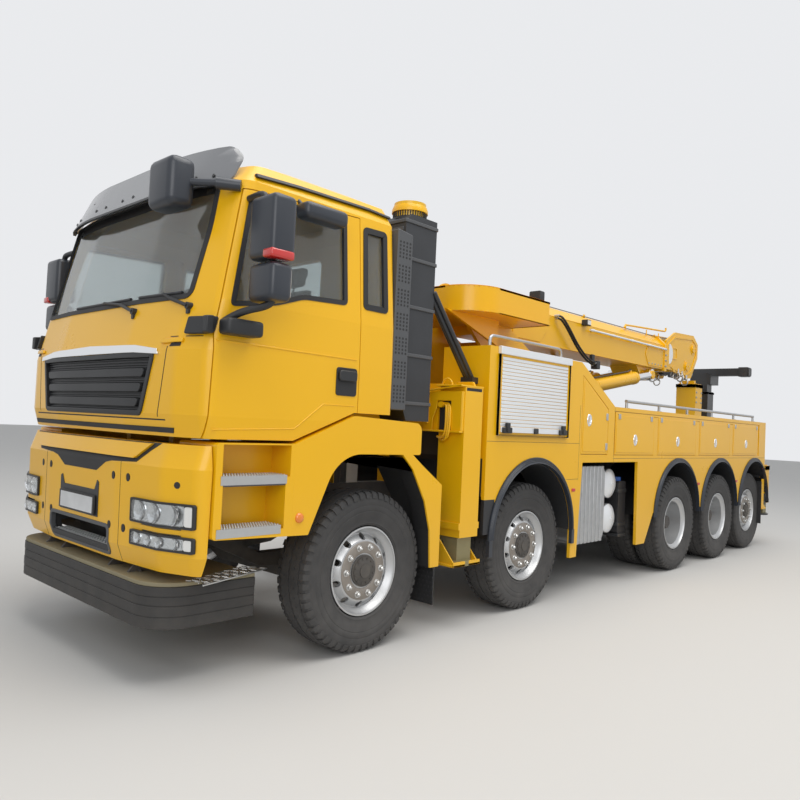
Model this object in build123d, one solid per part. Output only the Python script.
# Heavy recovery truck: five axles, cab over engine, slewing crane boom and folding rear underlift.
# Millimetres. +X is forward, +Y is the truck's left, +Z is up. The origin is on the ground under the
# middle of the overall length, so most places along the truck are counted from the first axle.

import os
from math import cos, hypot, pi, sin

from build123d import *

os.makedirs("parts", exist_ok=True)

# Overall layout along the truck
front_overhang = 1475
wheelbase_1_2 = 1920
wheelbase_2_3 = 3040
wheelbase_3_4 = 1345
wheelbase_4_5 = 1345
rear_overhang = 1570
overall_length = front_overhang + wheelbase_1_2 + wheelbase_2_3 + wheelbase_3_4 + wheelbase_4_5 + rear_overhang
axle_1_x = overall_length / 2 - front_overhang
axle_2_x = axle_1_x - wheelbase_1_2
axle_3_x = axle_2_x - wheelbase_2_3
axle_4_x = axle_3_x - wheelbase_3_4
axle_5_x = axle_4_x - wheelbase_4_5

# Wheels
tyre_radius = 542
tyre_width = 300
tyre_bead_fit = 0.3
tyre_shoulder = 34
rim_lip_radius = 299
rim_width = 262
rim_wall = 16
rim_barrel_radius = 262
disc_thickness = 20
hand_hole_count = 10
hand_hole_radius = 27
hand_hole_circle = 200
single_track = 2060
twin_outer_track = 2190
twin_spacing = 340
hub_radius = 112
hub_bore_radius = 46
shaft_clearance = 0.4
hub_z = tyre_radius

# Axles, knuckles and steering
kingpin_offset = 152
kingpin_radius = 34
knuckle_height = 230
stub_radius = hub_bore_radius - shaft_clearance
front_beam_drop = 70
front_beam_height = 105
front_beam_width = 110
drive_tube_radius = 88
diff_radius = 225
spring_width = 90
spring_leaf_stack = 90
spring_half_length = 760

# Chassis frame
rail_outer_y = 430
rail_height = 300
rail_flange = 85
rail_web = 10
rail_top_z = 1060
rail_front = 1290
rail_rear = 8090
subframe_height = 200
subframe_width = 80
crossmember_size = 120

# Cab outline
cab_rear = -120
cab_half_width = 1235
cab_front = 1440
cab_corner_back = 120
cab_shoulder_back = 42
cab_shoulder_in = 235
cab_wall = 70
cab_bottom_z = 1412
cab_sill_rear_z = 1600
sill_rise_rear = 240
sill_rise_front = 720
windscreen_bottom_z = 2205
windscreen_top_z = 2930
cab_roof_z = 3125
panel_gap = 6
door_rear = 213
door_top_z = 2872
glass_inset = 14
glass_thickness = 7
glass_fit = 0.3
cab_floor = 60
tilt_pivot_x = 1300
tilt_pivot_z = 1000
tilt_pin_radius = 30
tilt_boss_radius = 56
tilt_arm_y = 300
tilt_arm_width = 60

# Front wings and steps, carried by the cab
wing_outer_y = 1250
wing_inner_y = 850
wing_rear = -415
wing_front = 1254
wing_bottom_z = 842
wing_arch_z = 1330
wing_arch_front = 585
wing_gap = 18
quarter_inner_y = 1100
quarter_rear = -664
quarter_bottom_z = 515

# Bumper
bumper_top_z = 1372
bumper_bottom_z = 655
bumper_front = 1460
bumper_thickness = 70
bumper_side_back = 1262

# Pusher pad ahead of the bumper
pusher_front = 1462
pusher_rear = 800
pusher_half_width = 1035
pusher_bottom_z = 343
pusher_top_z = 600
pusher_belt = 70
pusher_corner = 230
pusher_plate = 22

# Service body
body_front = -1190
body_rear = -8110
body_half_width = 1250
body_box_depth = 350
body_skin = 30
body_deck_z = 1820
body_sill_z = 1262
front_box_top_z = 2205
front_box_depth = 480
slope_top = -2640
slope_bottom = -3330
slope_depth = 256
arch_radius = 620
arch_z = 650
skirt_bottom_z = 700
leg_bottom_z = 385
leg_1_front = -2445
leg_1_rear = -2655
leg_2_front = -3880
locker_front = -2672
locker_rear = -3196
flap_top_z = 1772
flap_bottom_z = 1338
flap_thickness = 24
trough_depth = 240
trough_margin = 22
deck_plate = 30
shutter_front = -1310
shutter_rear = -2396
shutter_bottom_z = 1500
shutter_top_z = 2170
shutter_stand = 12

# Crane turret, boom and lift cylinders
slew_x = -2950
slew_ring_radius = 560
slew_ring_height = 110
turret_plate = 40
cheek_y = 390
boom_pivot_x = -2480
boom_pivot_z = 2730
boom_pin_radius = 50
tub_front = -1460
tub_rear = -2650
tub_half_width = 870
tub_bottom_z = 2575
tub_top_z = 2795
tub_corner = 350
tub_wall = 22
boom_half_width = 270
boom_bottom_z = 2510
boom_top_z = 2975
boom_chamfer = 120
boom_wall = 14
boom_root = -2420
boom_mouth = -6760
boom_gap = 26
pad_fit = 0.4
extension_root = -3000
head_front = -6840
head_rear = -8040
head_half_width = 235
shackle_bore_radius = 22
cylinder_y = 280
cylinder_base_x = -3480
cylinder_base_z = 1925
cylinder_rod_x = -6230
cylinder_rod_z = 2395
cylinder_radius = 82
cylinder_bore_radius = 66
rod_radius = 55
cylinder_eye_radius = 80
cylinder_pin_radius = 38

# Outriggers behind the cab
outrigger_x = -1007
outrigger_beam_width = 180
outrigger_beam_height = 250
outrigger_beam_z = 1655
outrigger_box_wall = 16
outrigger_slide_gap = 8
outrigger_box_half = 985
leg_width = 222
leg_depth = 250
leg_top_z = 1852
leg_tube_bottom_z = 700
jack_size = 170
jack_bottom_z = 480
jack_foot_radius = 150
rear_jack_x = -8330
rear_jack_y = 1125
rear_jack_size = 150
rear_jack_top_z = 1180
rear_jack_bottom_z = 440

# Rear underlift
mast_front = -8215
mast_depth = 270
mast_half_width = 156
mast_bottom_z = 700
mast_top_z = 2410
mast_gap = 8
stinger_x = -8905
stinger_depth = 250
stinger_half_width = 140
stinger_wall = 16
stinger_pivot_z = 900
stinger_top_z = 2330
stinger_pin_radius = 40
crossbar_size = 125
crossbar_half_length = 680
crossbar_socket = 15
crossbar_bore_radius = 25
crossbar_z = 2675

# Intake tower behind the cab
tower_front = -300
tower_rear = -640
tower_inner_y = 850
tower_outer_y = 1110
tower_bottom_z = 1570
tower_top_z = 3075
tower_cap_top_z = 3190


def fore(distance):
    """X of a point that lies this far ahead of the first axle."""
    return axle_1_x + distance


def block(x0, x1, y0, y1, z0, z1):
    """Box between two corners, in either order."""
    centre = Pos((x0 + x1) / 2, (y0 + y1) / 2, (z0 + z1) / 2)
    return centre * Box(abs(x1 - x0), abs(y1 - y0), abs(z1 - z0))


def outline(points, radii=None):
    """Flat face from corner points; radii rounds every corner by its own radius."""
    if radii is None:
        return make_face(Polyline(*points, close=True))
    return make_face(FilletPolyline(*points, radius=radii, close=True))


def side_prism(face, y0, y1):
    """Outline drawn in X and Z, standing between two Y planes."""
    plane = Plane(origin=(0, y1, 0), x_dir=(1, 0, 0), z_dir=(0, -1, 0))
    return extrude(plane * face, amount=y1 - y0)


def front_prism(face, x0, x1):
    """Outline drawn in Y and Z, standing between two X planes."""
    plane = Plane(origin=(x0, 0, 0), x_dir=(0, 1, 0), z_dir=(1, 0, 0))
    return extrude(plane * face, amount=x1 - x0)


def plan_prism(face, z0, z1):
    """Outline drawn in X and Y, standing between two levels."""
    return extrude(Plane.XY.offset(z0) * face, amount=z1 - z0)


def ahead(points):
    """Outline points whose first value is counted from the first axle."""
    return [(fore(x), z) for x, z in points]


def rod(start, end, radius):
    """Round bar between two points."""
    start = Vector(*start)
    line = Vector(*end) - start
    plane = Plane(origin=start, z_dir=line)
    return extrude(plane * Circle(radius), amount=line.length)


def cross_pin(x, z, y0, y1, radius):
    """Round pin that lies across the truck."""
    return rod((x, y0, z), (x, y1, z), radius)


def mirrored(shape):
    return mirror(shape, about=Plane.XZ)


def both(shape):
    """A piece and its mirror image as one set of solids."""
    return Compound(children=[*shape.solids(), *mirrored(shape).solids()])


def together(*shapes):
    """Several solids of one node that do not touch."""
    return Compound(children=[solid for shape in shapes for solid in shape.solids()])


def write(name, shape):
    export_step(shape, f"parts/{name}.step")


# Wheels


def tyre_at(x, y):
    """Plain carcass of one tyre, turned about its own axle."""
    half = tyre_width / 2
    bead = rim_lip_radius + tyre_bead_fit
    bead_half = rim_width / 2
    section = outline([
        (bead, -bead_half), (tyre_radius - 150, -half), (tyre_radius, -half + tyre_shoulder),
        (tyre_radius, half - tyre_shoulder), (tyre_radius - 150, half), (bead, bead_half)])
    ring = revolve(Plane.XY * section, axis=Axis.Y)
    return Pos(x, y, hub_z) * ring


def rim_profile(disc_y, hub_start, hub_end):
    """Half section of a wheel: barrel, disc at disc_y and hub, as distance from the axle and Y."""
    half = rim_width / 2
    back = disc_y - disc_thickness / 2
    face = disc_y + disc_thickness / 2
    inner = rim_barrel_radius - rim_wall
    return [
        (hub_bore_radius, hub_start), (hub_radius, hub_start), (hub_radius, back), (inner, back),
        (inner, -half + 34), (rim_lip_radius - 14, -half), (rim_lip_radius, -half),
        (rim_barrel_radius, -half + 48), (rim_barrel_radius, half - 48), (rim_lip_radius, half),
        (rim_lip_radius - 14, half), (inner, half - 34), (inner, face), (hub_radius, face),
        (hub_radius, hub_end), (hub_bore_radius, hub_end)]


def rim_at(x, y, disc_y, hub_start, hub_end):
    """Steel wheel with its hub; disc_y and the hub's ends are counted from the wheel's middle plane."""
    wheel = revolve(Plane.XY * outline(rim_profile(disc_y, hub_start, hub_end)), axis=Axis.Y)
    for index in range(hand_hole_count):
        turn = 2 * pi * index / hand_hole_count
        hx = hand_hole_circle * cos(turn)
        hz = hand_hole_circle * sin(turn)
        wheel -= rod((hx, disc_y - 40, hz), (hx, disc_y + 40, hz), hand_hole_radius)
    return Pos(x, y, hub_z) * wheel


# Wheel layout: axle number, x, kind of wheel
wheel_table = [
    (1, axle_1_x, "steered"), (2, axle_2_x, "steered"), (3, axle_3_x, "twin"),
    (4, axle_4_x, "twin"), (5, axle_5_x, "trailing")]

single_y = single_track / 2
twin_outer_y = twin_outer_track / 2
twin_inner_y = twin_outer_y - twin_spacing
hub_cap_y = 62

for number, x, kind in wheel_table:
    if kind == "twin":
        tyres = together(tyre_at(x, twin_outer_y), tyre_at(x, twin_inner_y))
        outer = rim_at(x, twin_outer_y, -118, -twin_spacing / 2, 40)
        inner = rim_at(x, twin_inner_y, 118, 30, twin_spacing / 2)
        rims = outer + inner
    else:
        tyres = tyre_at(x, single_y)
        rims = rim_at(x, single_y, 88, -60, 88 + hub_cap_y)
    write(f"tyre_{number}_left", tyres)
    write(f"tyre_{number}_right", mirrored(tyres))
    write(f"rim_{number}_left", rims)
    write(f"rim_{number}_right", mirrored(rims))

# Knuckles of the two steered axles

kingpin_y = single_y - kingpin_offset
knuckle_gap = 6
beam_eye_height = 120
beam_eye_radius = 56


def knuckle_at(x):
    """Steering knuckle: upright on the kingpin, forked round the beam's end, and the stub axle."""
    upright = block(x - 60, x + 60, kingpin_y - 52, kingpin_y + beam_eye_radius + 32,
                    hub_z - knuckle_height / 2, hub_z + knuckle_height / 2)
    fork = block(x - 70, x + 70, kingpin_y - 70, kingpin_y + beam_eye_radius + knuckle_gap,
                 hub_z - beam_eye_height / 2 - knuckle_gap, hub_z + beam_eye_height / 2 + knuckle_gap)
    pin = Pos(x, kingpin_y, hub_z) * Cylinder(kingpin_radius, knuckle_height - 20)
    stub = rod((x, kingpin_y + beam_eye_radius + knuckle_gap + 1, hub_z), (x, single_y + 88 + hub_cap_y - 12, hub_z), stub_radius)
    arm = block(x - 240, x - 40, kingpin_y - 40, kingpin_y - 5, hub_z + 75, hub_z + 105)
    return upright - fork + pin + stub + arm


for number, x in ((1, axle_1_x), (2, axle_2_x)):
    knuckle = knuckle_at(x)
    write(f"knuckle_{number}_left", knuckle)
    write(f"knuckle_{number}_right", mirrored(knuckle))

# Axles and their springs

spring_y = rail_outer_y - rail_flange / 2 + 5
spring_top_z = rail_top_z - rail_height


def front_axle(x):
    """Dropped beam with an eye at each end for the kingpin."""
    half = front_beam_width / 2
    eye_half = beam_eye_height / 2
    low = hub_z - front_beam_drop - front_beam_height
    face = outline([
        (-kingpin_y, hub_z - eye_half), (-kingpin_y + 90, hub_z - eye_half), (-520, low),
        (520, low), (kingpin_y - 90, hub_z - eye_half), (kingpin_y, hub_z - eye_half),
        (kingpin_y, hub_z + eye_half), (kingpin_y - 90, hub_z + eye_half),
        (520, low + front_beam_height), (-520, low + front_beam_height),
        (-kingpin_y + 90, hub_z + eye_half), (-kingpin_y, hub_z + eye_half)])
    beam = front_prism(face, x - half, x + half)
    eye = Pos(x, kingpin_y, hub_z) * Cylinder(beam_eye_radius, beam_eye_height)
    beam = beam + eye + mirrored(eye)
    bore = Pos(x, kingpin_y, hub_z) * Cylinder(kingpin_radius + shaft_clearance, knuckle_height)
    return beam - bore - mirrored(bore)


def spring_pack(x, seat_z, half_length):
    """Leaf spring: a shallow arched stack, thick over the axle and thin at its eyes."""
    rise = spring_top_z - seat_z - spring_leaf_stack
    face = outline([
        (x - half_length, seat_z + spring_leaf_stack + rise - 70), (x - half_length * 0.45, seat_z + 24),
        (x - 90, seat_z), (x + 90, seat_z), (x + half_length * 0.45, seat_z + 24),
        (x + half_length, seat_z + spring_leaf_stack + rise - 70),
        (x + half_length, spring_top_z), (x + half_length - 60, spring_top_z),
        (x + half_length * 0.45, seat_z + spring_leaf_stack + 20), (x - half_length * 0.45, seat_z + spring_leaf_stack + 20),
        (x - half_length + 60, spring_top_z), (x - half_length, spring_top_z)])
    return side_prism(face, spring_y - spring_width / 2, spring_y + spring_width / 2)


def axle_tube(x, reach, radius):
    """Round axle tube with a spindle at each end that enters the hub's bore."""
    tube = cross_pin(x, hub_z, -reach, reach, radius)
    return tube


front_seat_z = hub_z - front_beam_drop
axle_pieces = []
for x in (axle_1_x, axle_2_x):
    springs = spring_pack(x, front_seat_z, spring_half_length)
    axle_pieces.append(front_axle(x) + springs + mirrored(springs))

twin_hub_inner = twin_inner_y + 30
rear_seat_z = hub_z + drive_tube_radius - 12
for x in (axle_3_x, axle_4_x):
    tube = axle_tube(x, twin_hub_inner - 12, drive_tube_radius)
    spindle = axle_tube(x, twin_outer_y + 20, stub_radius)
    bowl = Pos(x, 0, hub_z) * Rot(90, 0, 0) * Cone(diff_radius, diff_radius * 0.72, 170)
    bowl = bowl + Pos(x, 0, hub_z) * Rot(-90, 0, 0) * Cone(diff_radius, diff_radius * 0.72, 170)
    nose = rod((x, 0, hub_z), (x + 330, 0, hub_z + 30), 95)
    springs = spring_pack(x, rear_seat_z, wheelbase_3_4 / 2 - 60)
    axle_pieces.append(tube + spindle + bowl + nose + springs + mirrored(springs))

trailing_tube = axle_tube(axle_5_x, single_y - 72, 70)
trailing_spindle = axle_tube(axle_5_x, single_y + 88 + hub_cap_y - 12, stub_radius)
springs = spring_pack(axle_5_x, hub_z + 58, wheelbase_4_5 / 2 - 60)
axle_pieces.append(trailing_tube + trailing_spindle + springs + mirrored(springs))
write("axles", together(*axle_pieces))

# Chassis frame with its crossmembers and the subframe under the body

rail_inner_y = rail_outer_y - rail_flange
rail = block(fore(rail_front), fore(-rail_rear), rail_inner_y, rail_outer_y, spring_top_z, rail_top_z)
rail -= block(fore(rail_front) + 1, fore(-rail_rear) - 1, rail_inner_y - 1, rail_outer_y - rail_web,
              spring_top_z + rail_web, rail_top_z - rail_web)
frame = rail + mirrored(rail)
crossmember_places = (-700, -2500, -3900, -5650, -6950, -8000)
for place in crossmember_places:
    frame += block(fore(place) - crossmember_size / 2, fore(place) + crossmember_size / 2,
                   -rail_inner_y - rail_web, rail_inner_y + rail_web,
                   rail_top_z - rail_web - crossmember_size, rail_top_z - rail_web)
subframe_top_z = rail_top_z + subframe_height
frame += block(fore(rail_front) - 200, fore(rail_front) - 80, -rail_inner_y - rail_web,
               rail_inner_y + rail_web, spring_top_z + rail_web, spring_top_z + rail_web + crossmember_size)
sub_rail = block(fore(body_front), fore(-rail_rear), rail_outer_y - subframe_width, rail_outer_y,
                 rail_top_z, subframe_top_z)
frame += sub_rail + mirrored(sub_rail)
turret_base_half = 640
frame += block(fore(slew_x) - turret_base_half, fore(slew_x) + turret_base_half, -turret_base_half,
               turret_base_half, subframe_top_z - 40, subframe_top_z + 60)
slew_base_z = subframe_top_z + 60
frame += Pos(fore(slew_x), 0, slew_base_z + slew_ring_height / 4) * Cylinder(slew_ring_radius,
                                                                             slew_ring_height / 2)
pivot_ear = side_prism(outline(ahead([
    (tilt_pivot_x - 120, spring_top_z), (tilt_pivot_x + 50, spring_top_z + 40),
    (tilt_pivot_x + 50, tilt_pivot_z + 45), (tilt_pivot_x - 50, tilt_pivot_z + 55),
    (tilt_pivot_x - 120, tilt_pivot_z + 55)])),
    tilt_arm_y + tilt_arm_width / 2 + panel_gap, rail_outer_y)
pivot_pin = cross_pin(fore(tilt_pivot_x), tilt_pivot_z, tilt_arm_y - tilt_arm_width, rail_outer_y, tilt_pin_radius)
frame += pivot_ear + pivot_pin + mirrored(pivot_ear) + mirrored(pivot_pin)
cab_rest_z = 1520
cab_rest = block(fore(cab_rear) - 60, fore(cab_rear) + 80, rail_outer_y - 90, rail_outer_y, rail_top_z, cab_rest_z)
cab_rest_beam = block(fore(cab_rear) - 60, fore(cab_rear) + 80, -560, 560, cab_rest_z, cab_sill_rear_z - glass_fit)
frame += cab_rest + mirrored(cab_rest) + cab_rest_beam
write("frame", frame)

engine_half_width = rail_inner_y - 15
engine_block = block(fore(-320), fore(820), -engine_half_width, engine_half_width, 690, rail_top_z - rail_web - 130)
engine_block += block(fore(-320), fore(820), -250, 250, rail_top_z - rail_web - 130, 1340)
write("engine_block", engine_block)

# Cab


def plan_section(z, front, half, rear):
    """Level outline of the cab: bowed front, rounded front corners, straight sides."""
    points = [
        (fore(rear), -half), (fore(front - cab_corner_back), -half),
        (fore(front - cab_shoulder_back), -half + cab_shoulder_in), (fore(front), -half * 0.4),
        (fore(front), half * 0.4), (fore(front - cab_shoulder_back), half - cab_shoulder_in),
        (fore(front - cab_corner_back), half), (fore(rear), half)]
    radii = [40, 90, 200, 500, 500, 200, 90, 40]
    return Plane.XY.offset(z) * outline(points, radii)


# Levels of the cab's body: height, how far the front stands back, half width, how far the rear stands in
cab_levels = [
    (cab_bottom_z, 32, cab_half_width - 8, 0),
    (cab_bottom_z + 125, 0, cab_half_width, 0),
    (1900, 0, cab_half_width, 0),
    (windscreen_bottom_z - 20, 66, cab_half_width - 6, 0),
    (windscreen_top_z - 20, 220, cab_half_width - 68, 0),
    (cab_roof_z - 85, 335, cab_half_width - 150, 20),
    (cab_roof_z, 640, cab_half_width - 340, 160)]


def cab_form(inset, roof_inset=None):
    """The cab's outer form, or the same form standing in by inset on the front, sides, rear and roof."""
    drop = inset if roof_inset is None else roof_inset
    sections = []
    for z, back, half, rear_in in cab_levels:
        level = z if z < windscreen_bottom_z else z - drop
        sections.append(plan_section(level, cab_front - back - inset, half - inset, cab_rear + rear_in + inset))
    return loft([section.faces()[0] for section in sections], ruled=True)


cab_outer = cab_form(0)
cab_inner = cab_form(cab_wall)
below_sill = side_prism(outline(ahead([
    (cab_rear - 50, cab_bottom_z - 50), (cab_rear - 50, cab_sill_rear_z), (sill_rise_rear, cab_sill_rear_z),
    (sill_rise_front, cab_bottom_z), (sill_rise_front, cab_bottom_z - 50)])), -1300, 1300)
below_floor = side_prism(outline(ahead([
    (cab_rear - 50, cab_bottom_z - 50), (cab_rear - 50, cab_sill_rear_z + cab_floor),
    (250, cab_sill_rear_z + cab_floor), (740, cab_bottom_z + cab_floor),
    (cab_front + 50, cab_bottom_z + cab_floor), (cab_front + 50, cab_bottom_z - 50)])), -1300, 1300)
cab_wall_form = cab_outer - below_sill - (cab_inner - below_floor)

# Door outline in X and Z, clockwise from the low front corner
door_outline = outline(ahead([
    (1303, cab_bottom_z), (1290, 1990), (1108, door_top_z - 22), (door_rear, door_top_z + 18),
    (door_rear, cab_sill_rear_z), (sill_rise_rear, cab_sill_rear_z), (sill_rise_front, cab_bottom_z)]))
door_window = outline(ahead([
    (1196, 2165), (1062, 2822), (342, 2850), (342, 2302), (700, 2285), (880, 2215)]), [30, 40, 30, 40, 200, 120])
rear_window = outline(ahead([(168, 2305), (160, 2826), (-24, 2832), (-24, 2305)]), [30, 30, 30, 30])
belt_z = windscreen_bottom_z - 60
pillar_inner_y = cab_half_width - 150


def door_zone(face, gap):
    """Room of a door behind its outline: one wall deep below the belt, deeper above it, where the cab leans in."""
    low = side_prism(face, cab_half_width - cab_wall - gap, cab_half_width + 65)
    high = side_prism(face, pillar_inner_y - gap, cab_half_width + 65)
    return low + (high & block(fore(cab_rear), fore(cab_front), 900, 1400, belt_z - gap, cab_roof_z))


door_cut = door_zone(offset(door_outline, amount=panel_gap), panel_gap)
windscreen_outline = outline([
    (-1010, windscreen_bottom_z), (1010, windscreen_bottom_z), (1015, windscreen_top_z - 300),
    (985, windscreen_top_z), (-985, windscreen_top_z), (-1015, windscreen_top_z - 300)],
    [60, 60, 200, 90, 90, 200])
grille_top_z = 1884
grille_bottom_z = 1526
grille_outline = outline([
    (-691, grille_bottom_z), (691, grille_bottom_z), (796, grille_top_z), (-796, grille_top_z)],
    [60, 60, 30, 30])
front_zone = fore(700)
grille_depth = 30
shell = cab_wall_form - door_cut - mirrored(door_cut)
shell -= front_prism(windscreen_outline, front_zone, fore(cab_front + 60))
rear_window_cut = side_prism(rear_window, 900, 1300)
shell -= rear_window_cut
shell -= mirrored(rear_window_cut)
grille_core = cab_form(grille_depth)
shell -= front_prism(offset(grille_outline, amount=glass_fit), front_zone, fore(cab_front + 60)) - grille_core
rear_glass_outline = outline([(-480, 2330), (480, 2330), (480, 2760), (-480, 2760)], [60, 60, 60, 60])
shell -= front_prism(rear_glass_outline, fore(cab_rear - 20), fore(cab_rear + cab_wall + 20))

# Hinge arms that reach down from the floor to the tilting pin
tilt_arm = side_prism(outline(ahead([
    (tilt_pivot_x, tilt_pivot_z - tilt_boss_radius + 2), (tilt_pivot_x - 430, tilt_pivot_z + 130),
    (tilt_pivot_x - 430, cab_bottom_z + 20), (tilt_pivot_x - 300, cab_bottom_z + 20),
    (tilt_pivot_x - 300, tilt_pivot_z + 230), (tilt_pivot_x, tilt_pivot_z + tilt_boss_radius - 2)])),
    tilt_arm_y - tilt_arm_width / 2, tilt_arm_y + tilt_arm_width / 2)
tilt_arm += cross_pin(fore(tilt_pivot_x), tilt_pivot_z, tilt_arm_y - tilt_arm_width / 2,
                      tilt_arm_y + tilt_arm_width / 2, tilt_boss_radius)
tilt_arm -= cross_pin(fore(tilt_pivot_x), tilt_pivot_z, tilt_arm_y - 100, tilt_arm_y + 100,
                      tilt_pin_radius + shaft_clearance)
shell += tilt_arm + mirrored(tilt_arm)
write("cab_shell", shell)

# Front wings, fixed to the frame: an arch over the first wheel and the step well ahead of it

# Step recesses: x of the rear and front ends, z of the tread and of the top
step_table = [(775, 1204, 895, 1160), (744, 1212, 1200, 1385)]
step_depth = 190


def wing():
    """Arch cover and step housing, which meet at a seam where the cab's sill starts to rise."""
    top_z = cab_bottom_z - wing_gap
    rear_z = cab_sill_rear_z - wing_gap
    seam_x = sill_rise_front - panel_gap
    whole = side_prism(outline(ahead([
        (wing_rear, wing_arch_z), (wing_arch_front - 225, wing_arch_z + 5), (wing_arch_front, wing_bottom_z),
        (wing_front, wing_bottom_z + 20), (wing_front, top_z), (seam_x, top_z),
        (sill_rise_rear, rear_z), (wing_rear, rear_z - 30)]),
        [20, 300, 12, 20, 20, 5, 120, 60]), wing_inner_y, wing_outer_y)
    steps = whole & block(fore(seam_x), fore(wing_front), wing_inner_y, wing_outer_y, wing_bottom_z, top_z)
    arch = whole & block(fore(wing_rear), fore(seam_x) - glass_fit, wing_inner_y, wing_outer_y, wing_bottom_z, rear_z)
    for x0, x1, z0, z1 in step_table:
        steps -= block(fore(x0), fore(x1), wing_outer_y - step_depth, wing_outer_y + 5, z0, z1)
    front_bracket = block(fore(1020), fore(1100), rail_outer_y + glass_fit, wing_inner_y + 40, 900, 980)
    rear_bracket = block(fore(wing_rear + 20), fore(wing_rear + 90), rail_outer_y - 60, wing_inner_y + 40,
                         wing_arch_z + 30, wing_arch_z + 100)
    rear_post = block(fore(wing_rear + 20), fore(wing_rear + 90), rail_outer_y - 60, rail_outer_y,
                      rail_top_z, wing_arch_z + 100)
    quarter = side_prism(outline(ahead([
        (wing_rear + 185, wing_arch_z + 4), (wing_rear + 85, wing_arch_z + 4), (wing_rear - 15, wing_arch_z - 68),
        (quarter_rear, 1110), (quarter_rear, quarter_bottom_z), (-568, quarter_bottom_z), (-548, 790),
        (-480, 1000), (-340, 1230)])), quarter_inner_y, wing_outer_y)
    return together(steps + front_bracket, arch + rear_bracket + rear_post + quarter)


left_wing = wing()
write("front_wings", together(left_wing, mirrored(left_wing)))

# Doors, cut from the same form, with the window's glass
door_ring = cab_outer - cab_form(cab_wall, roof_inset=0)
door = (door_ring & door_zone(door_outline, 0)) - side_prism(door_window, 900, 1300)
write("door_left", door)
write("door_right", mirrored(door))
glass_ring = cab_form(glass_inset) - cab_form(glass_inset + glass_thickness)
door_glass = glass_ring & side_prism(offset(door_window, amount=-glass_fit), 900, 1300)
write("door_glass_left", door_glass)
write("door_glass_right", mirrored(door_glass))
windscreen = glass_ring & front_prism(offset(windscreen_outline, amount=-glass_fit), front_zone, fore(cab_front))
side_light = glass_ring & side_prism(offset(rear_window, amount=-glass_fit), 900, 1300)
rear_light = glass_ring & front_prism(offset(rear_glass_outline, amount=-glass_fit), fore(cab_rear - 5),
                                      fore(cab_rear + 100))
write("cab_glass", together(windscreen, side_light, mirrored(side_light), rear_light))

# Mirrors on the doors


def mirror_set():
    """Two stacked mirror heads on an arm that stands off the door's front edge."""
    upper = block(fore(1030), fore(1150), 1345, 1560, 2405, 2745)
    upper = fillet(upper.edges(), 28)
    lower = block(fore(1035), fore(1145), 1345, 1555, 2190, 2365)
    lower = fillet(lower.edges(), 26)
    post = rod((fore(1110), 1330, 2060), (fore(1110), 1360, 2700), 18)
    foot = block(fore(1050), fore(1270), cab_half_width + glass_fit, 1345, 1985, 2070)
    top_arm = rod((fore(1110), 1360, 2690), (fore(1095), 1184, 2790), 16)
    return upper + lower + post + foot + top_arm


mirrors = mirror_set() - cab_form(-glass_fit)
write("mirror_left", mirrors)
write("mirror_right", mirrored(mirrors))

# Dark trim of the cab: grille, sun visor, corner panels and side strip
grille_ring = cab_form(-6) - grille_core
grille = grille_ring & front_prism(grille_outline, front_zone, fore(cab_front + 60))
slot_height = 62
for level in (1566, 1652, 1738):
    spread = (level - grille_bottom_z) / (grille_top_z - grille_bottom_z) * 105
    slot = outline([(-600 - spread, level), (600 + spread, level), (620 + spread, level + slot_height),
                    (-620 - spread, level + slot_height)])
    grille -= front_prism(slot, front_zone, fore(cab_front + 60)) - cab_form(16)
visor_levels = ((2945, 1345), (3120, 1215))
visor_half = 1050


def visor_form(inset):
    sections = [plan_section(z, front - inset, visor_half - inset, 900) for z, front in visor_levels]
    return loft([section.faces()[0] for section in sections], ruled=True)


visor = visor_form(0) - visor_form(9) - block(fore(800), fore(1130), -1200, 1200, 2900, 3200)
visor_bracket = block(fore(1120), fore(1250), 560, 590, 2990, 3060) - cab_form(0) - visor_form(9)
bracket_solid = max(visor_bracket.solids(), key=lambda piece: piece.volume)
visor = visor + bracket_solid + mirrored(bracket_solid)
corner_panel = block(fore(cab_rear - 150), fore(cab_rear - glass_fit), 1080, 1215, 1640, 2900)
write("cab_trim", together(grille, visor, corner_panel, mirrored(corner_panel)))

# Seats, dashboard and steering wheel seen through the glass
seat_floor_z = cab_bottom_z + cab_floor + glass_fit


def seat(y):
    base = block(fore(330), fore(800), y - 230, y + 230, cab_sill_rear_z + cab_floor + glass_fit, 1900)
    cushion = block(fore(300), fore(830), y - 260, y + 260, 1900, 2010)
    back = side_prism(outline(ahead([(300, 1960), (430, 1960), (330, 2620), (210, 2620)])), y - 240, y + 240)
    return base + cushion + back


dash = block(fore(1040), fore(1290), -1060, 1060, 1750, 2130) + block(fore(1100), fore(1250), -1000, 1000,
                                                                     seat_floor_z, 1750)
dash = dash & cab_form(cab_wall + 4)
column = rod((fore(1090), 560, 2010), (fore(930), 560, 2160), 28)
steering_wheel = Plane(origin=(fore(930), 560, 2160), z_dir=(-160, 0, 150)) * Torus(215, 16)
spoke = Plane(origin=(fore(930), 560, 2160), z_dir=(-160, 0, 150)) * Box(430, 40, 20)
bunk_wall = block(fore(cab_rear + cab_wall + 5), fore(60), -1000, 1000, cab_sill_rear_z + cab_floor + glass_fit, 2250)
write("cab_interior", together(dash + column + steering_wheel + spoke, seat(560), seat(-560), bunk_wall))

# Front bumper with lamp recesses and the centre step


def bumper_section(z, front, half):
    """Level outline of the bumper."""
    points = [
        (fore(bumper_side_back - 300), -half), (fore(front - 140), -half), (fore(front - 36), -half + 260),
        (fore(front), -half * 0.4), (fore(front), half * 0.4), (fore(front - 36), half - 260),
        (fore(front - 140), half), (fore(bumper_side_back - 300), half)]
    return Plane.XY.offset(z) * outline(points, [10, 110, 220, 500, 500, 220, 110, 10])


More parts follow.
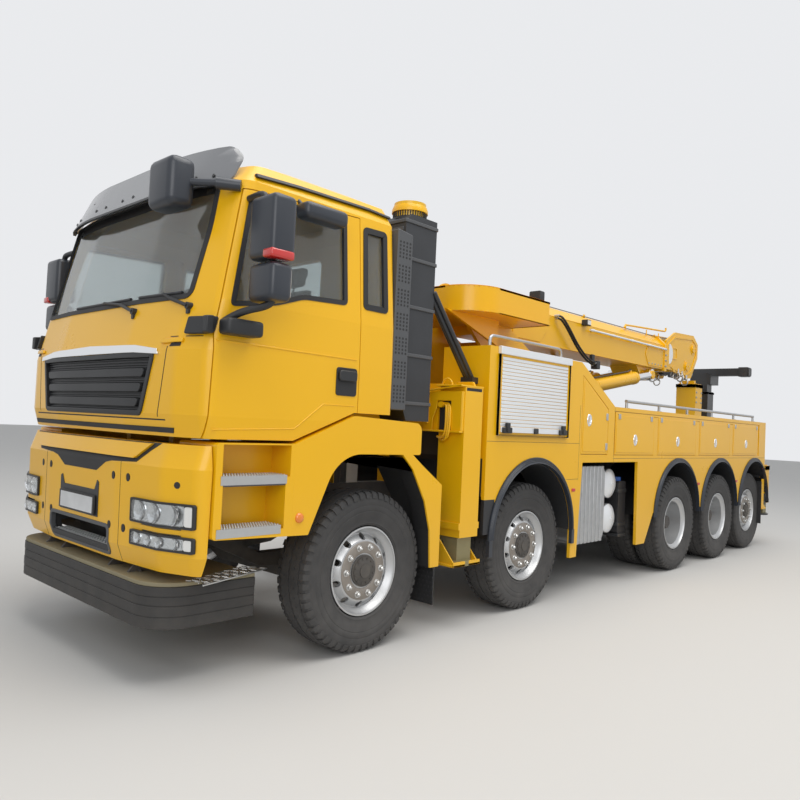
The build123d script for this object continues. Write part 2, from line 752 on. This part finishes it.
# Levels of the bumper: height, how far the front stands back, half width
bumper_levels = [(bumper_bottom_z, 45, 1195), (760, 8, 1225), (1240, 0, 1232), (bumper_top_z, 40, 1222)]


def bumper_form(inset, drop=0):
    sections = []
    for z, back, half in bumper_levels:
        level = z - drop if z == bumper_top_z else z
        sections.append(bumper_section(level, bumper_front - back - inset, half - inset))
    return loft([section.faces()[0] for section in sections], ruled=True)


lamp_depth = 60
lamp_boxes = [(790, 1110, 905, 1020), (800, 1110, 790, 880)]
behind_bumper = block(fore(bumper_side_back), fore(0), -1400, 1400, 500, 1500)
bumper_shell = bumper_form(0) - bumper_form(bumper_thickness) - behind_bumper
bumper_mount = block(fore(rail_front - 140), fore(bumper_front - 60), rail_outer_y + glass_fit,
                     rail_outer_y + 80, 780, 940)
bumper = bumper_shell + bumper_mount + mirrored(bumper_mount)
step_opening = block(fore(1300), fore(1500), -430, 430, 690, 850)
bumper -= step_opening
lamp_core = bumper_form(lamp_depth)
for y0, y1, z0, z1 in lamp_boxes:
    recess = block(fore(1200), fore(1500), y0, y1, z0, z1) - lamp_core
    bumper = bumper - recess - mirrored(recess)
for y, z in ((636, 1159), (471, 1159), (606, 861), (440, 862)):
    for side in (1, -1):
        bumper -= rod((fore(bumper_front - 34), side * y, z), (fore(front_overhang), side * y, z), 24)
step_tread = block(fore(1330), fore(1440), -432, 432, 700, 730)
number_plate = block(fore(1465), fore(front_overhang), -260, 260, 895, 1010)
plate_back = block(fore(1440), fore(1465), -230, 230, 910, 995)
bumper = bumper + step_tread + number_plate + plate_back
write("front_bumper", bumper)
lens_ring = bumper_form(6) - bumper_form(lamp_depth - glass_fit)
lenses = []
for y0, y1, z0, z1 in lamp_boxes:
    lens = lens_ring & block(fore(1200), fore(1500), y0 + glass_fit, y1 - glass_fit, z0 + glass_fit, z1 - glass_fit)
    lenses += [lens, mirrored(lens)]
write("lamps", together(*lenses))

# Pusher pad: a thick rubber belt round a steel deck on two arms from the frame


def pusher_outline(inset):
    points = [
        (fore(pusher_rear), -pusher_half_width + inset), (fore(pusher_front - inset), -pusher_half_width + inset),
        (fore(pusher_front - inset), pusher_half_width - inset), (fore(pusher_rear), pusher_half_width - inset)]
    return outline(points, [10, pusher_corner - inset, pusher_corner - inset, 10])


belt = plan_prism(pusher_outline(0), pusher_bottom_z, pusher_top_z - pusher_plate)
belt -= plan_prism(pusher_outline(pusher_belt), pusher_bottom_z - 1, pusher_top_z)
deck = plan_prism(pusher_outline(4), pusher_top_z - pusher_plate, pusher_top_z)
arm = block(fore(820), fore(1380), 330, 420, 470, pusher_top_z)
hanger = block(fore(900), fore(1100), 345, 425, pusher_top_z, spring_top_z)
side_step = plan_prism(outline([(fore(x), y) for x, y in (
    (1250, 1175), (670, 983), (830, 868), (1130, 963))]), pusher_top_z, pusher_top_z + 8)
pusher = belt + deck + arm + mirrored(arm) + hanger + mirrored(hanger) + side_step + mirrored(side_step)
write("pusher_bumper", pusher)

# Intake tower behind the cab
tower = side_prism(outline(ahead([
    (tower_front, tower_top_z - 60), (tower_front - 60, tower_top_z), (tower_rear, tower_top_z),
    (tower_rear, tower_bottom_z), (tower_front - 90, tower_bottom_z), (tower_front, tower_bottom_z + 200)])),
    tower_inner_y, tower_outer_y)
cap_x = fore((tower_front + tower_rear) / 2)
cap_y = (tower_inner_y + tower_outer_y) / 2
tower += Pos(cap_x, cap_y, (tower_top_z + tower_cap_top_z) / 2) * Cylinder(120, tower_cap_top_z - tower_top_z)
tower_bracket = block(fore(tower_rear + 60), fore(tower_rear + 180), rail_outer_y - 80, tower_inner_y + 60,
                      tower_bottom_z - 70, tower_bottom_z)
tower_post = block(fore(tower_rear + 60), fore(tower_rear + 180), rail_outer_y - 80, rail_outer_y,
                   rail_top_z, tower_bottom_z)
tower += tower_bracket + tower_post
brace = rod((fore(tower_rear) + 10, 1080, 2530), (fore(body_front) + 40, 1080, 1925), 22)
tower = tower + (brace - block(fore(body_front), fore(body_front) - 200, 900, 1300, 1000, 2300))

# Service body


def wheel_space(x, y0, y1):
    """Round-topped space over a wheel, open below."""
    crown = cross_pin(x, arch_z, y0, y1, arch_radius)
    return crown + block(x - arch_radius, x + arch_radius, y0, y1, 0, arch_z)


side_inner_y = body_half_width - body_box_depth
skin_y = body_half_width - body_skin
rear_box = block(fore(slope_bottom), fore(body_rear), side_inner_y, body_half_width, body_sill_z, body_deck_z)
slope_box = side_prism(outline(ahead([
    (slope_top, front_box_top_z), (slope_bottom, body_deck_z), (slope_top, body_deck_z)])),
    body_half_width - slope_depth, body_half_width)
slope_box += block(fore(slope_bottom), fore(slope_top), side_inner_y, body_half_width, body_sill_z, body_deck_z)
front_box = block(fore(body_front), fore(slope_top), body_half_width - front_box_depth, body_half_width,
                  1440, front_box_top_z)
front_lower = block(fore(body_front), fore(slope_top), side_inner_y, body_half_width, 1000, 1440)
side_body = rear_box + slope_box + front_box + front_lower
skirt = block(fore(body_front), fore(leg_1_rear), skin_y, body_half_width, skirt_bottom_z, 1440)
skirt += side_prism(outline(ahead([
    (leg_1_front, body_sill_z), (leg_1_front - 20, leg_bottom_z), (leg_1_rear, leg_bottom_z),
    (leg_1_rear - 60, body_sill_z)])), skin_y, body_half_width)
skirt += side_prism(outline(ahead([
    (leg_2_front, body_sill_z), (leg_2_front - 20, leg_bottom_z), (leg_2_front - 220, leg_bottom_z),
    (leg_2_front - 420, skirt_bottom_z), (body_rear + 60, skirt_bottom_z), (body_rear, 950),
    (body_rear, body_sill_z)])), skin_y, body_half_width)
side_body += skirt
for x in (axle_2_x, axle_3_x, axle_4_x, axle_5_x):
    side_body -= wheel_space(x, side_inner_y - 5, body_half_width + 5)
flap_x_front = fore(slope_bottom) - trough_margin
flap_x_rear = fore(-7800)
trough = block(flap_x_front, flap_x_rear,
               body_half_width - trough_depth, body_half_width + 5, flap_bottom_z + trough_margin,
               flap_top_z - trough_margin)
side_body -= trough
flap_seat = block(flap_x_front + trough_margin, flap_x_rear - trough_margin, body_half_width - flap_thickness,
                  body_half_width + 5, flap_bottom_z - panel_gap, flap_top_z + panel_gap)
side_body -= flap_seat
locker_space = side_prism(outline(ahead([
    (locker_front, 2088), (locker_rear, 1790), (locker_rear, flap_bottom_z), (locker_front, flap_bottom_z)])),
    body_half_width - flap_thickness - glass_fit, body_half_width + 5)
locker_hollow = side_prism(outline(ahead([
    (locker_front - 30, 2040), (locker_rear + 30, 1745), (locker_rear + 30, flap_bottom_z + 30),
    (locker_front - 30, flap_bottom_z + 30)])), body_half_width - trough_depth, body_half_width + 5)
side_body = side_body - locker_space - locker_hollow
shutter = block(fore(shutter_front), fore(shutter_rear), body_half_width, body_half_width + shutter_stand,
                shutter_bottom_z, shutter_top_z)
side_body += shutter
deck_half = side_inner_y - glass_fit
deck_floor = block(fore(-3960), fore(body_rear), -deck_half, deck_half, body_deck_z - deck_plate, body_deck_z)
deck_front_wall = block(fore(-3960), fore(-3990), -deck_half, deck_half, subframe_top_z, body_deck_z)
tail_wall = block(fore(body_rear), fore(-rail_rear) - glass_fit, -deck_half, deck_half, 1000, body_deck_z)
well_floor = block(fore(body_front), fore(-3960), -deck_half, deck_half, subframe_top_z, subframe_top_z + 12)
well_floor -= block(fore(slew_x) - turret_base_half - 10, fore(slew_x) + turret_base_half + 10,
                    -turret_base_half - 10, turret_base_half + 10, subframe_top_z - 1, subframe_top_z + 20)
bulkhead_half = body_half_width - front_box_depth - glass_fit
bulkhead = block(fore(body_front), fore(body_front - 20), -deck_half, deck_half, subframe_top_z, 1430)
bulkhead += block(fore(body_front), fore(body_front - 20), -bulkhead_half, bulkhead_half, 1430, 1900)
deck = deck_floor + deck_front_wall + tail_wall + well_floor + bulkhead
rail_post_places = (-3700, -4500, -5300, -6100, -6900, -7700)
rail_y = 1190
rail_z = 1895
rail_radius = 15
post_radius = 13
deck_rail = rod((fore(rail_post_places[0]) + post_radius, rail_y, rail_z),
                (fore(rail_post_places[-1]) - post_radius, rail_y, rail_z), rail_radius)
for place in rail_post_places:
    deck_rail += rod((fore(place), rail_y, body_deck_z + glass_fit), (fore(place), rail_y, rail_z), post_radius)

# The side body is built up from weldments: two outer skins, front box, slope locker and rear lockers
skin_seam = slope_bottom
locker_face = skin_y - glass_fit
side_high = front_box_top_z + 5
skin_outer = body_half_width + shutter_stand + 1
front_skin = side_body & block(fore(body_front), fore(skin_seam), skin_y, skin_outer, leg_bottom_z, side_high)
rear_skin = side_body & block(fore(skin_seam) - glass_fit, fore(body_rear), skin_y, skin_outer, leg_bottom_z,
                              side_high)
side_pieces = [front_skin, rear_skin, deck_rail]
for front, rear in ((body_front, slope_top), (slope_top - glass_fit, slope_bottom), (slope_bottom - glass_fit, body_rear)):
    side_pieces.append(side_body & block(fore(front), fore(rear), body_half_width - front_box_depth, locker_face,
                                         skirt_bottom_z, side_high))
side_set = together(*side_pieces)

# Outrigger box across the frame behind the cab
beam_half_width = outrigger_beam_width / 2
beam_half_height = outrigger_beam_height / 2
box_half_width = beam_half_width + outrigger_slide_gap + outrigger_box_wall
box_half_height = beam_half_height + outrigger_slide_gap + outrigger_box_wall
outrigger_box = block(fore(outrigger_x) - box_half_width, fore(outrigger_x) + box_half_width, -outrigger_box_half,
                      outrigger_box_half, outrigger_beam_z - box_half_height, outrigger_beam_z + box_half_height)
outrigger_box -= block(fore(outrigger_x) - box_half_width + outrigger_box_wall,
                       fore(outrigger_x) + box_half_width - outrigger_box_wall, -outrigger_box_half - 5,
                       outrigger_box_half + 5, outrigger_beam_z - box_half_height + outrigger_box_wall,
                       outrigger_beam_z + box_half_height - outrigger_box_wall)
slide_pad = block(fore(outrigger_x) - beam_half_width + 10, fore(outrigger_x) + beam_half_width - 10,
                  outrigger_box_half - 120, outrigger_box_half - 20,
                  outrigger_beam_z - beam_half_height - outrigger_slide_gap - 1,
                  outrigger_beam_z - beam_half_height - pad_fit)
outrigger_box += slide_pad + mirrored(slide_pad)
outrigger_stand = block(fore(outrigger_x) - box_half_width, fore(outrigger_x) + box_half_width, rail_inner_y,
                        rail_outer_y, rail_top_z, outrigger_beam_z - box_half_height)
outrigger_box += outrigger_stand + mirrored(outrigger_stand)

# Tail: guide for the underlift mast and the housings of the rear jacks
mast_rear = mast_front - mast_depth
guide_front = body_rear - glass_fit
guide = block(fore(guide_front), fore(mast_rear + 60), mast_half_width + mast_gap, mast_half_width + mast_gap + 60,
              760, 1760)
guide_back = block(fore(guide_front), fore(mast_front + mast_gap), -mast_half_width - mast_gap - 60,
                   mast_half_width + mast_gap + 60, 760, 1760)
mast_pad = block(fore(mast_front + mast_gap) + 1, fore(mast_front) + pad_fit, -mast_half_width + 20,
                 mast_half_width - 20, 1600, 1740)
tail = guide + mirrored(guide) + guide_back + mast_pad
rear_jack_half = rear_jack_size / 2
rear_housing = block(fore(rear_jack_x) - rear_jack_half - 22, fore(rear_jack_x) + rear_jack_half + 22,
                     rear_jack_y - rear_jack_half - 22, rear_jack_y + rear_jack_half + 22, 620, rear_jack_top_z)
rear_housing -= block(fore(rear_jack_x) - rear_jack_half - 6, fore(rear_jack_x) + rear_jack_half + 6,
                      rear_jack_y - rear_jack_half - 6, rear_jack_y + rear_jack_half + 6, 600, rear_jack_top_z - 20)
rear_pad = block(fore(rear_jack_x) - rear_jack_half - 8, fore(rear_jack_x) - rear_jack_half - pad_fit,
                 rear_jack_y - 50, rear_jack_y + 50, 650, 720)
rear_arm = block(fore(body_rear - 2), fore(rear_jack_x) + rear_jack_half + 20, rear_jack_y - 60, rear_jack_y + 60,
                 1020, 1170)
tail_beam = block(fore(body_rear) - glass_fit, fore(body_rear - 90), -rear_jack_y - 60, rear_jack_y + 60, 1000, 1180)
tail_beam += block(fore(body_rear) + 1, fore(body_rear) - 1, -deck_half, deck_half, 1010, 1170)
tail = tail + rear_housing + mirrored(rear_housing) + rear_pad + mirrored(rear_pad) + tail_beam
tail = tail + rear_arm + mirrored(rear_arm)
write("body_shell", together(side_set, mirrored(side_set), deck + tail, outrigger_box))

# Flaps and locker doors of the side lockers


def strip_of_flaps():
    """Four flaps that hang from one long hinge along their top edge."""
    pieces = []
    for start, end in flap_table:
        panel = block(fore(start), fore(end), body_half_width - flap_thickness + glass_fit, body_half_width,
                      flap_bottom_z, flap_top_z - 16)
        pieces.append(panel)
    hinge = block(fore(flap_table[0][0]), fore(flap_table[-1][1]), body_half_width - 12,
                          body_half_width, flap_top_z - 20, flap_top_z)
    return hinge, pieces


# Flap ends from front to rear
flap_table = [(-3350, -4248), (-4362, -5440), (-5560, -6620), (-6735, -7770)]
hinge_bar, flap_panels = strip_of_flaps()
flaps = hinge_bar
for panel in flap_panels:
    flaps += panel
write("flaps_left", flaps)
write("flaps_right", mirrored(flaps))
locker_door = side_prism(outline(ahead([
    (locker_front - panel_gap, 2078), (locker_rear + panel_gap, 1784), (locker_rear + panel_gap, flap_bottom_z + panel_gap),
    (locker_front - panel_gap, flap_bottom_z + panel_gap)])), body_half_width - flap_thickness, body_half_width)
write("locker_door_left", locker_door)
write("locker_door_right", mirrored(locker_door))

# Tanks and boxes slung beside the frame between the second and third axles
silencer = block(fore(-2790), fore(-3360), 560, 1150, 470, 1215)
silencer = fillet(silencer.edges().filter_by(Axis.Y), 90)
air_tanks = []
for z in (1030, 672):
    air_tanks.append(rod((fore(-3540), 560, z), (fore(-3540), 1100, z), 150))
urea_tank = block(fore(-3705), fore(-3870), 640, 1130, 500, 1050)
urea_tank = fillet(urea_tank.edges().filter_by(Axis.Y), 30)
fuel_tank = block(fore(-2720), fore(-3860), -1150, -560, 430, 1120)
fuel_tank = fillet(fuel_tank.edges().filter_by(Axis.X), 90)
hangers = []
for x0, x1 in ((-2900, -2980), (-3200, -3280), (-3500, -3580), (-3750, -3830)):
    hanger_bar = block(fore(x0), fore(x1), rail_outer_y + glass_fit, 645, 760, 1050)
    hangers.append(hanger_bar)
left_gear = silencer + urea_tank
for piece in air_tanks + hangers:
    left_gear += piece
hanger_strip = block(fore(-2900), fore(-3830), 600, 645, 640, 1050)
left_gear += hanger_strip
right_gear = fuel_tank
for piece in hangers:
    right_gear += mirrored(piece)

write("chassis_equipment", together(left_gear, right_gear, tower))

# Crane turret with its tub and winches
turret_z = slew_base_z + slew_ring_height / 2 + glass_fit
turret_table = Pos(fore(slew_x), 0, turret_z + slew_ring_height / 4) * Cylinder(slew_ring_radius,
                                                                               slew_ring_height / 2)
table_top_z = turret_z + slew_ring_height / 2
cheek = side_prism(outline(ahead([
    (slew_x - 420, table_top_z - 5), (slew_x + 420, table_top_z - 5), (boom_pivot_x + 260, 2300),
    (tub_front - 420, tub_bottom_z + 15), (tub_front - 100, tub_bottom_z + 200), (boom_pivot_x + 130, 2900),
    (boom_pivot_x - 130, 2900), (boom_pivot_x - 190, 2560), (slew_x - 330, 2250),
    (cylinder_base_x - 60, cylinder_base_z + 90), (cylinder_base_x - 90, cylinder_base_z - 70)])),
    cheek_y - turret_plate / 2, cheek_y + turret_plate / 2)
web_wall = block(fore(slew_x + 280), fore(slew_x + 320), -cheek_y, cheek_y, table_top_z - 5, 2450)
boom_pin = cross_pin(fore(boom_pivot_x), boom_pivot_z, -cheek_y - 60, cheek_y + 60, boom_pin_radius)
base_pin = cross_pin(fore(cylinder_base_x), cylinder_base_z, -cheek_y - turret_plate / 2 - 1,
                     cheek_y + turret_plate / 2 + 1, cylinder_pin_radius)
tub_points = [
    (fore(tub_rear), -tub_half_width), (fore(tub_front), -tub_half_width), (fore(tub_front), tub_half_width),
    (fore(tub_rear), tub_half_width)]
tub_outer = outline(tub_points, [15, tub_corner, tub_corner, 15])
tub = plan_prism(tub_outer, tub_bottom_z, tub_top_z)
tub_hollow = plan_prism(offset(tub_outer, amount=-tub_wall), tub_bottom_z + tub_wall, tub_top_z + 5)
rear_opening = block(fore(tub_rear) - 5, fore(tub_rear) + tub_wall + 5, -cheek_y + turret_plate / 2,
                     cheek_y - turret_plate / 2, tub_bottom_z - 5, tub_top_z + 5)
tub = tub - tub_hollow - rear_opening
boom_slot = block(fore(tub_rear) - 5, fore(boom_root + 110), -cheek_y + turret_plate / 2, cheek_y - turret_plate / 2,
                  tub_bottom_z - 5, tub_bottom_z + tub_wall + 5)
tub -= boom_slot
turret = turret_table + cheek + mirrored(cheek) + web_wall + tub + boom_pin + base_pin
under_tub = side_prism(outline(ahead([
    (tub_front + 60, tub_bottom_z + 5), (boom_pivot_x + 300, tub_bottom_z + 5), (boom_pivot_x + 300, 2330)])),
    -600, -570)
turret += under_tub + mirrored(under_tub)
winch_table = [(-1750, 0), (-2130, 0)]
winch_z = 2745
for place, y in winch_table:
    drum = cross_pin(fore(place), winch_z, -300, 300, 95)
    flange = cross_pin(fore(place), winch_z, 280, 300, 145)
    stand = block(fore(place) - 60, fore(place) + 60, 300, 330, tub_bottom_z + tub_wall - 1, winch_z + 40)
    turret = turret + drum + flange + mirrored(flange) + stand + mirrored(stand)
write("turret", turret)

# Boom


def boom_face(inset):
    """Cross section of the boom in Y and Z with its sloped upper corners."""
    half = boom_half_width - inset
    low = boom_bottom_z + inset
    top = boom_top_z - inset
    cut = boom_chamfer - inset * 0.4
    return outline([(-half, low), (half, low), (half, top - cut), (half - cut, top), (-half + cut, top),
                    (-half, top - cut)])


base_tube = front_prism(boom_face(0), fore(boom_mouth), fore(boom_root - 60))
base_tube -= front_prism(boom_face(boom_wall), fore(boom_mouth) - 5, fore(boom_root - 420))
root_boss = cross_pin(fore(boom_pivot_x), boom_pivot_z, -cheek_y + turret_plate / 2 + panel_gap,
                      cheek_y - turret_plate / 2 - panel_gap, 120)
base_tube += root_boss
base_tube -= cross_pin(fore(boom_pivot_x), boom_pivot_z, -500, 500, boom_pin_radius + shaft_clearance)
extension_inset = boom_wall + boom_gap
lower_pad = block(fore(boom_mouth + 20), fore(boom_mouth + 220), -180, 180, boom_bottom_z + boom_wall - 1,
                  boom_bottom_z + extension_inset - pad_fit)
upper_pad = block(fore(boom_mouth + 900), fore(boom_mouth + 1100), -120, 120, boom_top_z - extension_inset + pad_fit,
                  boom_top_z - boom_wall + 1)
mouth_frame = front_prism(boom_face(-22), fore(boom_mouth + 5), fore(boom_mouth + 75))
mouth_frame -= front_prism(boom_face(2), fore(boom_mouth), fore(boom_mouth + 90))
rod_bracket = side_prism(outline(ahead([
    (cylinder_rod_x - 250, boom_bottom_z + 2), (cylinder_rod_x + 250, boom_bottom_z + 2),
    (cylinder_rod_x + 70, cylinder_rod_z - 75), (cylinder_rod_x - 70, cylinder_rod_z - 75)])), -200, 200)
boss_end = cylinder_y - rod_radius - panel_gap
bracket_boss = cross_pin(fore(cylinder_rod_x), cylinder_rod_z, -boss_end, boss_end, cylinder_eye_radius - 15)
boom_base = base_tube + lower_pad + upper_pad + mouth_frame + rod_bracket + bracket_boss
write("boom_base", boom_base)

extension = front_prism(boom_face(extension_inset), fore(head_front), fore(extension_root))
extension -= front_prism(boom_face(extension_inset + 10), fore(head_front) - 5, fore(extension_root) + 5)
collar = front_prism(boom_face(extension_inset - 14), fore(head_front) - 160, fore(head_front))
head_plate = side_prism(outline(ahead([
    (head_front - 20, boom_bottom_z + 60), (head_front - 20, boom_top_z - 20), (head_front - 330, 3110),
    (head_rear + 180, 3140), (head_rear, 3020), (head_rear, 2800), (head_rear + 240, 2470),
    (head_rear + 420, 2450), (head_front - 330, 2520)])), head_half_width - 30, head_half_width)
shackle_bore = cross_pin(fore(head_front - 300), 2560, -head_half_width - 5, head_half_width + 5, shackle_bore_radius)
head_web = block(fore(head_front - 150), fore(head_front - 420), -head_half_width + 5, head_half_width - 5,
                 2580, 2960)
sheaves = []
for x, z, radius in ((head_rear + 195, 2930, 165), (head_rear + 430, 2640, 130)):
    shaft = cross_pin(fore(x), z, -head_half_width - 12, head_half_width + 12, 40)
    for y in (-120, 120):
        sheaves.append(cross_pin(fore(x), z, y - 30, y + 30, radius))
    sheaves.append(shaft)
boom_extension = extension + collar + head_plate + mirrored(head_plate) + head_web
for piece in sheaves:
    boom_extension += piece
boom_extension += cross_pin(fore(head_front - 300), 2560, -head_half_width, head_half_width, shackle_bore_radius + 24)
boom_extension -= shackle_bore
write("boom_extension", boom_extension)

# Lift cylinders, one each side of the boom
run_x = cylinder_rod_x - cylinder_base_x
run_z = cylinder_rod_z - cylinder_base_z
cylinder_length = hypot(run_x, run_z)
unit_x = run_x / cylinder_length
unit_z = run_z / cylinder_length


def along(distance, y):
    """Point on a lift cylinder's line, counted from its base pin."""
    return (fore(cylinder_base_x) + unit_x * distance, y, cylinder_base_z + unit_z * distance)


def lift_barrel(y):
    inner_y = y - 45
    barrel = rod(along(120, y), along(cylinder_length - 470, y), cylinder_radius)
    barrel -= rod(along(220, y), along(cylinder_length - 400, y), cylinder_bore_radius)
    gland = rod(along(cylinder_length - 560, y), along(cylinder_length - 471, y), cylinder_bore_radius + 2)
    gland -= rod(along(cylinder_length - 600, y), along(cylinder_length - 400, y), rod_radius + pad_fit)
    eye = cross_pin(fore(cylinder_base_x), cylinder_base_z, y - 40, y + 40, cylinder_eye_radius)
    neck = rod(along(0, y), along(140, y), 60)
    return (barrel + gland + eye + neck) - cross_pin(fore(cylinder_base_x), cylinder_base_z, y - 60, y + 60,
                                                     cylinder_pin_radius + pad_fit)


def lift_rod(y):
    bar = rod(along(360, y), along(cylinder_length - 40, y), rod_radius)
    piston = rod(along(300, y), along(380, y), cylinder_bore_radius - pad_fit)
    eye = cross_pin(fore(cylinder_rod_x), cylinder_rod_z, y - 40, y + 40, cylinder_eye_radius)
    outward = 1 if y > 0 else -1
    pin_head = rod((fore(cylinder_rod_x), y, cylinder_rod_z), (fore(cylinder_rod_x), y + 52 * outward, cylinder_rod_z),
                   cylinder_pin_radius)
    return bar + piston + eye + pin_head


write("lift_barrels", together(lift_barrel(cylinder_y), lift_barrel(-cylinder_y)))
write("lift_rods", together(lift_rod(cylinder_y), lift_rod(-cylinder_y)))

# Outrigger beams with their legs, and the jacks inside the legs
beam_inner_y = 12
leg_outer_y = body_half_width
leg_inner_y = leg_outer_y - leg_depth
leg_x0 = fore(outrigger_x) - leg_width / 2
leg_x1 = fore(outrigger_x) + leg_width / 2
beam = block(fore(outrigger_x) - beam_half_width, fore(outrigger_x) + beam_half_width, beam_inner_y,
             leg_inner_y + 10, outrigger_beam_z - beam_half_height, outrigger_beam_z + beam_half_height)
leg = block(leg_x0, leg_x1, leg_inner_y, leg_outer_y, leg_tube_bottom_z, leg_top_z)
jack_half = jack_size / 2
jack_y = (leg_inner_y + leg_outer_y) / 2
leg -= block(fore(outrigger_x) - jack_half - 6, fore(outrigger_x) + jack_half + 6, jack_y - jack_half - 6,
             jack_y + jack_half + 6, leg_tube_bottom_z - 5, leg_top_z - 25)
leg_pad = block(fore(outrigger_x) + jack_half + pad_fit, fore(outrigger_x) + jack_half + 8, jack_y - 60, jack_y + 60,
                leg_tube_bottom_z + 20, leg_tube_bottom_z + 120)
collar_block = block(leg_x0 - 14, leg_x1 + 14, leg_inner_y - 4, leg_outer_y, leg_tube_bottom_z + 60,
                     leg_tube_bottom_z + 110)
collar_block -= block(leg_x0 + 10, leg_x1 - 10, leg_inner_y + 10, leg_outer_y - 10, leg_tube_bottom_z,
                      leg_tube_bottom_z + 200)
outrigger = beam + leg + leg_pad + collar_block
write("outrigger_left", outrigger)
write("outrigger_right", mirrored(outrigger))
jack = block(fore(outrigger_x) - jack_half, fore(outrigger_x) + jack_half, jack_y - jack_half, jack_y + jack_half,
             jack_bottom_z + 40, leg_top_z - 60)
foot_radius = min(jack_foot_radius, body_half_width - jack_y)
jack += Pos(fore(outrigger_x), jack_y, jack_bottom_z + 20) * Cylinder(foot_radius, 40)
write("jack_left", jack)
write("jack_right", mirrored(jack))
rear_jack = block(fore(rear_jack_x) - rear_jack_half, fore(rear_jack_x) + rear_jack_half,
                  rear_jack_y - rear_jack_half, rear_jack_y + rear_jack_half, rear_jack_bottom_z + 30,
                  rear_jack_top_z - 60)
rear_jack += Pos(fore(rear_jack_x), rear_jack_y, rear_jack_bottom_z + 15) * Cylinder(110, 30)
write("rear_jacks", both(rear_jack))

# Underlift: mast in the tail guide, folding stinger and crossbar
mast = block(fore(mast_front), fore(mast_rear), -mast_half_width, mast_half_width, mast_bottom_z, mast_top_z)
mast_ear = side_prism(outline(ahead([
    (mast_rear + 5, mast_bottom_z), (stinger_x + 60, mast_bottom_z + 60), (stinger_x - 90, mast_bottom_z + 110),
    (stinger_x - 90, stinger_pivot_z + 90), (stinger_x + 60, stinger_pivot_z + 110), (mast_rear + 5, 1250)])),
    stinger_half_width + panel_gap, stinger_half_width + panel_gap + 30)
stinger_pin = cross_pin(fore(stinger_x), stinger_pivot_z, -stinger_half_width - panel_gap - 40,
                        stinger_half_width + panel_gap + 40, stinger_pin_radius)
ear_foot = block(fore(mast_rear) + 5, fore(mast_rear) - 60, -stinger_half_width - panel_gap - 30,
                 stinger_half_width + panel_gap + 30, mast_bottom_z + 10, 1240)
underlift_mast = mast + mast_ear + mirrored(mast_ear) + stinger_pin + ear_foot
write("underlift_mast", underlift_mast)

stinger_half = stinger_depth / 2
stinger = block(fore(stinger_x) - stinger_half, fore(stinger_x) + stinger_half, -stinger_half_width,
                stinger_half_width, stinger_pivot_z - 110, stinger_top_z)
stinger -= block(fore(stinger_x) - stinger_half + stinger_wall, fore(stinger_x) + stinger_half - stinger_wall,
                 -stinger_half_width + stinger_wall, stinger_half_width - stinger_wall, stinger_pivot_z + 90,
                 stinger_top_z + 5)
stinger -= cross_pin(fore(stinger_x), stinger_pivot_z, -300, 300, stinger_pin_radius + shaft_clearance)
inner_gap = 8
stinger_pad = block(fore(stinger_x) - 60, fore(stinger_x) + 60,
                    stinger_half_width - stinger_wall - inner_gap + pad_fit, stinger_half_width - stinger_wall + 1,
                    stinger_top_z - 150, stinger_top_z - 20)
stinger += stinger_pad
write("stinger", stinger)

inner_half_x = stinger_half - stinger_wall - inner_gap
inner_half_y = stinger_half_width - stinger_wall - inner_gap
inner_tube = block(fore(stinger_x) - inner_half_x, fore(stinger_x) + inner_half_x, -inner_half_y, inner_half_y,
                   stinger_pivot_z + 120, crossbar_z - 40)
crossbar_x = -(overall_length - front_overhang - crossbar_size / 2 - crossbar_socket)
crossbar_half = crossbar_size / 2
head_block = block(fore(stinger_x) + inner_half_x, fore(crossbar_x) - 20, -170, 170, crossbar_z - 220,
                   crossbar_z - crossbar_half + 5)
bar = block(fore(crossbar_x) - crossbar_half, fore(crossbar_x) + crossbar_half, -crossbar_half_length,
            crossbar_half_length, crossbar_z - crossbar_half, crossbar_z + crossbar_half)
socket_half = crossbar_half + crossbar_socket
end_socket = block(fore(crossbar_x) - socket_half, fore(crossbar_x) + socket_half,
                   crossbar_half_length - 160, crossbar_half_length - 20, crossbar_z - socket_half,
                   crossbar_z + socket_half)
crossbar = inner_tube + head_block + bar + end_socket + mirrored(end_socket)
fork_bore = Pos(fore(crossbar_x), crossbar_half_length - 90, crossbar_z) * Cylinder(crossbar_bore_radius, 2 * socket_half + 10)
crossbar = crossbar - fork_bore - mirrored(fork_bore)
write("crossbar", crossbar)
